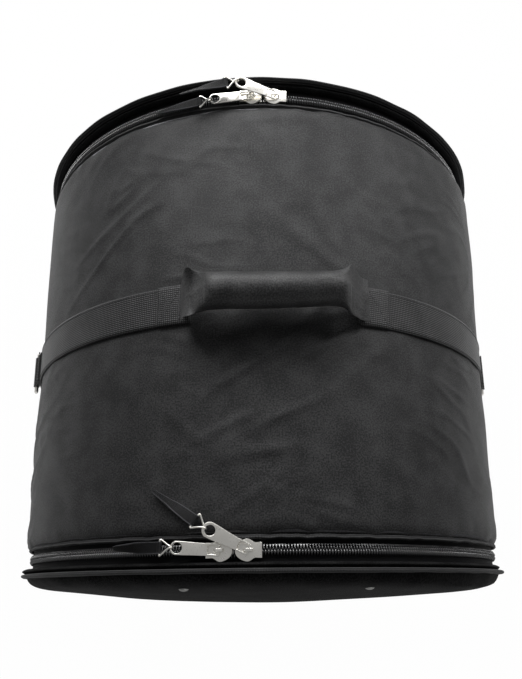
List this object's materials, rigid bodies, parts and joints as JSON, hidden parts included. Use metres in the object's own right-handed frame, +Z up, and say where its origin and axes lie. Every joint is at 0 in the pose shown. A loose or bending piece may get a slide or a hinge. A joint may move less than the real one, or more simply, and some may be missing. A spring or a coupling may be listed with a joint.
{
  "type": "bass drum bag",
  "caption": "Padded round bag for a bass drum, lying on its shell, with a zipped lid at each end, a padded carry handle on a girth strap and wire rings for a shoulder strap",
  "frame": {"origin": "On the floor, under the middle of the bag, in the flat that the padded shell rests on", "axes": "+Y runs along the bag's axis from the front lid to the back lid, +Z points up through the carry handle, and +X points to the right seen from the front lid"},
  "size_m": [0.5732, 0.5468, 0.5809],
  "materials": {
    "cover_fabric": "woven polyester, soft sheen, near black",
    "lid_fabric": "woven polyester, near black",
    "foam": "closed-cell foam padding",
    "lining_fabric": "plain woven lining",
    "binding_tape": "folded woven edge tape",
    "zip_tape": "woven zip tape",
    "zip_coil": "nylon coil, black",
    "webbing": "ribbed polyester webbing",
    "bright_metal": "nickel-plated zinc and steel, soft shine",
    "ribbon": "woven ribbon, black"
  },
  "bodies": {
    "bag": {"shell_cover": "cover_fabric", "shell_foam": "foam", "shell_lining": "lining_fabric", "girth_strap": "webbing", "handle_end_left": "cover_fabric", "handle_patch_left": "webbing", "ring_tab_left": "webbing", "handle_end_right": "cover_fabric", "handle_patch_right": "webbing", "ring_tab_right": "webbing", "edge_binding_front": "binding_tape", "zip_tape_front_shell": "zip_tape", "zip_coil_front_shell": "zip_coil", "lid_hinge_front": "cover_fabric", "zip_stop_front_left": "bright_metal", "zip_stop_front_right": "bright_metal", "edge_binding_back": "binding_tape", "zip_tape_back_shell": "zip_tape", "zip_coil_back_shell": "zip_coil", "lid_hinge_back": "cover_fabric", "zip_stop_back_left": "bright_metal", "zip_stop_back_right": "bright_metal"},
    "lid_front": {"lid_cover_front": "lid_fabric", "lid_foam_front": "foam", "lid_lining_front": "lining_fabric", "lid_rim_front": "lid_fabric", "lid_welt_front": "binding_tape", "lid_rivet_front_left": "bright_metal", "lid_rivet_front_right": "bright_metal", "zip_tape_front_lid": "zip_tape", "zip_coil_front_lid": "zip_coil"},
    "lid_back": {"lid_cover_back": "lid_fabric", "lid_foam_back": "foam", "lid_lining_back": "lining_fabric", "lid_rim_back": "lid_fabric", "lid_welt_back": "binding_tape", "lid_rivet_back_left": "bright_metal", "lid_rivet_back_right": "bright_metal", "zip_tape_back_lid": "zip_tape", "zip_coil_back_lid": "zip_coil"},
    "handle": {"handle_sleeve": "cover_fabric", "handle_padding": "foam"},
    "ring_left": {"side_ring_left": "bright_metal"},
    "ring_right": {"side_ring_right": "bright_metal"},
    "runner_front_left": {"slider_front_left": "bright_metal"},
    "puller_front_left": {"pull_front_left": "bright_metal"},
    "tag_front_left": {"pull_link_front_left": "bright_metal", "pull_tag_front_left": "ribbon"},
    "runner_front_right": {"slider_front_right": "bright_metal"},
    "puller_front_right": {"pull_front_right": "bright_metal"},
    "tag_front_right": {"pull_link_front_right": "bright_metal", "pull_tag_front_right": "ribbon"},
    "runner_back_left": {"slider_back_left": "bright_metal"},
    "puller_back_left": {"pull_back_left": "bright_metal"},
    "tag_back_left": {"pull_link_back_left": "bright_metal", "pull_tag_back_left": "ribbon"},
    "runner_back_right": {"slider_back_right": "bright_metal"},
    "puller_back_right": {"pull_back_right": "bright_metal"},
    "tag_back_right": {"pull_link_back_right": "bright_metal", "pull_tag_back_right": "ribbon"}
  },
  "joints": [
    {"name": "front_lid_opens", "type": "hinge", "parent": "bag", "child": "lid_front", "pos_m": [0, -0.2514, 0], "axis": [1, 0, 0], "range_deg": [0, 85], "deforming": ["zip_tape_front_lid", "zip_coil_front_lid"]},
    {"name": "front_left_slider_runs", "type": "hinge", "parent": "bag", "child": "runner_front_left", "pos_m": [0, -0.2263, 0.26541], "axis": [0, 1, 0], "range_deg": [-117, 0], "deforming": ["zip_coil_front_shell"]},
    {"name": "front_left_pull_turns", "type": "hinge", "parent": "runner_front_left", "child": "puller_front_left", "pos_m": [-0.05161, -0.2263, 0.53534], "axis": [0.0685, 0.9976, 0.0131], "range_deg": [0, 130]},
    {"name": "front_left_tag_swings", "type": "hinge", "parent": "puller_front_left", "child": "tag_front_left", "pos_m": [-0.09288, -0.22337, 0.52782], "axis": [0.0171, 0.9998, 0.0037], "range_deg": [0, 70]},
    {"name": "front_right_slider_runs", "type": "hinge", "parent": "bag", "child": "runner_front_right", "pos_m": [0, -0.2263, 0.26541], "axis": [0, 1, 0], "range_deg": [0, 133], "deforming": ["zip_tape_front_shell"]},
    {"name": "front_right_pull_turns", "type": "hinge", "parent": "runner_front_right", "child": "puller_front_right", "pos_m": [-0.02671, -0.2263, 0.53893], "axis": [0.4825, 0.8746, 0.0471], "range_deg": [0, 130]},
    {"name": "front_right_tag_swings", "type": "hinge", "parent": "puller_front_right", "child": "tag_front_right", "pos_m": [-0.06351, -0.20596, 0.53828], "axis": [0.4044, 0.9134, 0.0456], "range_deg": [0, 70]},
    {"name": "back_lid_opens", "type": "hinge", "parent": "bag", "child": "lid_back", "pos_m": [0, 0.2514, 0], "axis": [-1, 0, 0], "range_deg": [0, 85], "deforming": ["zip_tape_back_lid", "zip_coil_back_lid"]},
    {"name": "back_left_slider_runs", "type": "hinge", "parent": "bag", "child": "runner_back_left", "pos_m": [0, 0.2263, 0.26541], "axis": [0, 1, 0], "range_deg": [-123, 0], "deforming": ["zip_coil_back_shell"]},
    {"name": "back_left_pull_turns", "type": "hinge", "parent": "runner_back_left", "child": "puller_back_left", "pos_m": [-0.02263, 0.2263, 0.5393], "axis": [0.0348, 0.9994, 0.0029], "range_deg": [0, 130]},
    {"name": "back_left_tag_swings", "type": "hinge", "parent": "puller_back_left", "child": "tag_back_left", "pos_m": [-0.06454, 0.22777, 0.5362], "axis": [0.0695, 0.9976, 0.0054], "range_deg": [0, 70]},
    {"name": "back_right_slider_runs", "type": "hinge", "parent": "bag", "child": "runner_back_right", "pos_m": [0, 0.2263, 0.26541], "axis": [0, 1, 0], "range_deg": [0, 127], "deforming": ["zip_tape_back_shell"]},
    {"name": "back_right_pull_turns", "type": "hinge", "parent": "runner_back_right", "child": "puller_back_right", "pos_m": [0.00251, 0.2263, 0.54022], "axis": [0.4848, 0.8746, -0.0044], "range_deg": [0, 130]},
    {"name": "back_right_tag_swings", "type": "hinge", "parent": "puller_back_right", "child": "tag_back_right", "pos_m": [-0.03324, 0.24616, 0.55001], "axis": [0.4243, 0.9054, 0.0118], "range_deg": [0, 70]},
    {"name": "handle_tilts", "type": "hinge", "parent": "bag", "child": "handle", "pos_m": [0, 0, 0.53359], "axis": [1, 0, 0], "range_deg": [-35, 35]},
    {"name": "left_ring_swings", "type": "hinge", "parent": "bag", "child": "ring_left", "pos_m": [-0.27703, 0, 0.31425], "axis": [0, 1, 0], "range_deg": [0, 90]},
    {"name": "right_ring_swings", "type": "hinge", "parent": "bag", "child": "ring_right", "pos_m": [0.27703, 0, 0.31425], "axis": [0, -1, 0], "range_deg": [0, 90]}
  ]
}
